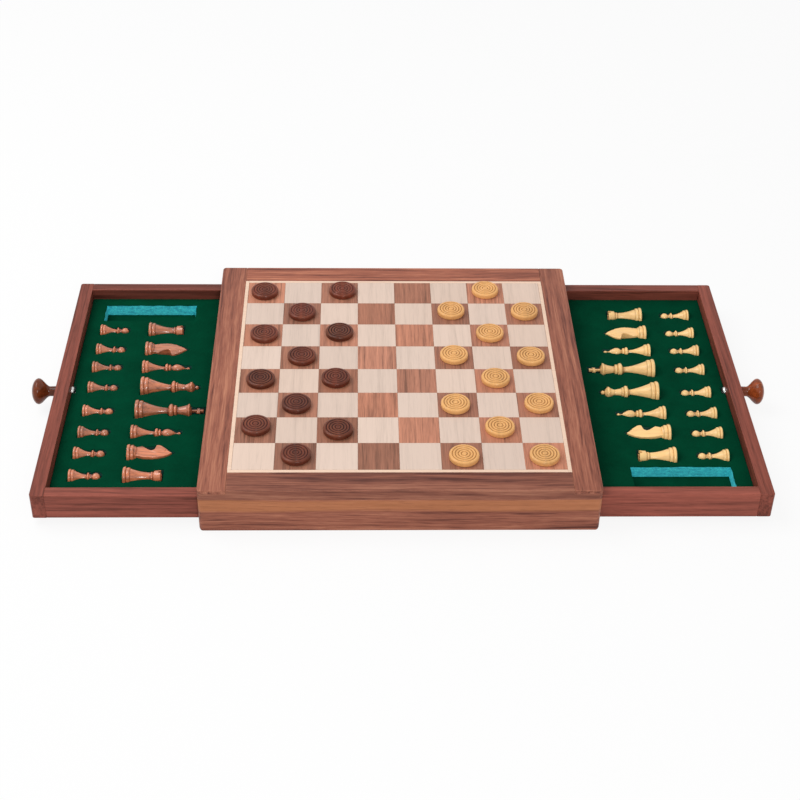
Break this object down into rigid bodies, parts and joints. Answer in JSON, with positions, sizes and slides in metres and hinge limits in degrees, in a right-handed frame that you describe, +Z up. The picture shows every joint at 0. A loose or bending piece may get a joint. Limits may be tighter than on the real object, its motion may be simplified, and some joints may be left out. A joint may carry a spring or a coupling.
{
  "type": "chess box with drawers",
  "caption": "Square inlaid chess and draughts board on a flat walnut case, with a drawer sliding out of each side that holds the chessmen in a lined foam tray.",
  "frame": {"origin": "middle of the case's underside, on the table", "axes": "+X to the right, towards the light chessmen's drawer; +Y to the back; +Z up, out of the board"},
  "size_m": [0.6091, 0.305, 0.0445],
  "materials": {
    "case_wood": "satin lacquered walnut, reddish brown with fine straight grain",
    "drawer_wood": "satin lacquered walnut, reddish brown with fine straight grain",
    "core_wood": "bare plywood",
    "steel": "plain zinc-plated steel",
    "dark_inlay": "lacquered walnut veneer squares",
    "light_inlay": "lacquered maple veneer squares",
    "stringing": "pale maple stringing",
    "baize": "deep green flocked baize",
    "foam": "teal cut foam",
    "felt": "green felt over a small disc magnet",
    "knob_wood": "glossy lacquered turned hardwood",
    "dark_man_wood": "glossy polished rosewood",
    "light_man_wood": "glossy polished boxwood",
    "dark_draught_wood": "glossy stained dark hardwood",
    "light_draught_wood": "glossy polished boxwood"
  },
  "bodies": {
    "case": {"front_board": "case_wood", "back_board": "case_wood", "bottom_panel": "case_wood", "drawer_divider": "case_wood", "frame_stiles": "case_wood", "frame_rails": "case_wood", "board_core": "core_wood", "steel_sheet": "steel", "dark_squares": "dark_inlay", "light_squares": "light_inlay", "board_stringing": "stringing"},
    "left_drawer": {"left_drawer_end": "drawer_wood", "left_drawer_inner_end": "drawer_wood", "left_drawer_front_side": "drawer_wood", "left_drawer_back_side": "drawer_wood", "left_drawer_bottom": "core_wood", "left_floor_baize": "baize", "left_tray_foam": "foam", "left_tray_baize": "baize", "left_knob": "knob_wood", "left_knob_screw": "steel"},
    "right_drawer": {"right_drawer_end": "drawer_wood", "right_drawer_inner_end": "drawer_wood", "right_drawer_front_side": "drawer_wood", "right_drawer_back_side": "drawer_wood", "right_drawer_bottom": "core_wood", "right_floor_baize": "baize", "right_tray_foam": "foam", "right_tray_baize": "baize", "right_knob": "knob_wood", "right_knob_screw": "steel"},
    "dark_king": {"dark_king": "dark_man_wood", "dark_king_magnet_felt": "felt"},
    "dark_queen": {"dark_queen": "dark_man_wood", "dark_queen_magnet_felt": "felt"},
    "dark_bishops": {"dark_bishops": "dark_man_wood", "dark_bishop_magnets_felts": "felt"},
    "dark_knights": {"dark_knights": "dark_man_wood", "dark_knight_magnets_felts": "felt"},
    "dark_rooks": {"dark_rooks": "dark_man_wood", "dark_rook_magnets_felts": "felt"},
    "dark_pawns": {"dark_pawns": "dark_man_wood", "dark_pawn_magnets_felts": "felt"},
    "dark_draughts": {"dark_draughts": "dark_draught_wood", "dark_draught_magnets": "steel"},
    "light_king": {"light_king": "light_man_wood", "light_king_magnet_felt": "felt"},
    "light_queen": {"light_queen": "light_man_wood", "light_queen_magnet_felt": "felt"},
    "light_bishops": {"light_bishops": "light_man_wood", "light_bishop_magnets_felts": "felt"},
    "light_knights": {"light_knights": "light_man_wood", "light_knight_magnets_felts": "felt"},
    "light_rooks": {"light_rooks": "light_man_wood", "light_rook_magnets_felts": "felt"},
    "light_pawns": {"light_pawns": "light_man_wood", "light_pawn_magnets_felts": "felt"},
    "light_draughts": {"light_draughts": "light_draught_wood", "light_draught_magnets": "steel"}
  },
  "joints": [
    {"name": "left_drawer_slide", "type": "slide", "parent": "case", "child": "left_drawer", "axis": [-1, 0, 0], "range_m": [-0.127, 0.009]},
    {"name": "right_drawer_slide", "type": "slide", "parent": "case", "child": "right_drawer", "axis": [1, 0, 0], "range_m": [-0.1335, 0.0025]},
    {"name": "dark_king_lift", "type": "slide", "parent": "left_drawer", "child": "dark_king", "axis": [0, 0, 1], "range_m": [0, 0.04]},
    {"name": "dark_queen_lift", "type": "slide", "parent": "left_drawer", "child": "dark_queen", "axis": [0, 0, 1], "range_m": [0, 0.04]},
    {"name": "dark_bishops_lift", "type": "slide", "parent": "left_drawer", "child": "dark_bishops", "axis": [0, 0, 1], "range_m": [0, 0.04]},
    {"name": "dark_knights_lift", "type": "slide", "parent": "left_drawer", "child": "dark_knights", "axis": [0, 0, 1], "range_m": [0, 0.04]},
    {"name": "dark_rooks_lift", "type": "slide", "parent": "left_drawer", "child": "dark_rooks", "axis": [0, 0, 1], "range_m": [0, 0.04]},
    {"name": "dark_pawns_lift", "type": "slide", "parent": "left_drawer", "child": "dark_pawns", "axis": [0, 0, 1], "range_m": [0, 0.04]},
    {"name": "dark_draughts_lift", "type": "slide", "parent": "case", "child": "dark_draughts", "axis": [0, 0, 1], "range_m": [0, 0.03]},
    {"name": "light_king_lift", "type": "slide", "parent": "right_drawer", "child": "light_king", "axis": [0, 0, 1], "range_m": [0, 0.04]},
    {"name": "light_queen_lift", "type": "slide", "parent": "right_drawer", "child": "light_queen", "axis": [0, 0, 1], "range_m": [0, 0.04]},
    {"name": "light_bishops_lift", "type": "slide", "parent": "right_drawer", "child": "light_bishops", "axis": [0, 0, 1], "range_m": [0, 0.04]},
    {"name": "light_knights_lift", "type": "slide", "parent": "right_drawer", "child": "light_knights", "axis": [0, 0, 1], "range_m": [0, 0.04]},
    {"name": "light_rooks_lift", "type": "slide", "parent": "right_drawer", "child": "light_rooks", "axis": [0, 0, 1], "range_m": [0, 0.04]},
    {"name": "light_pawns_lift", "type": "slide", "parent": "right_drawer", "child": "light_pawns", "axis": [0, 0, 1], "range_m": [0, 0.04]},
    {"name": "light_draughts_lift", "type": "slide", "parent": "case", "child": "light_draughts", "axis": [0, 0, 1], "range_m": [0, 0.03]}
  ]
}
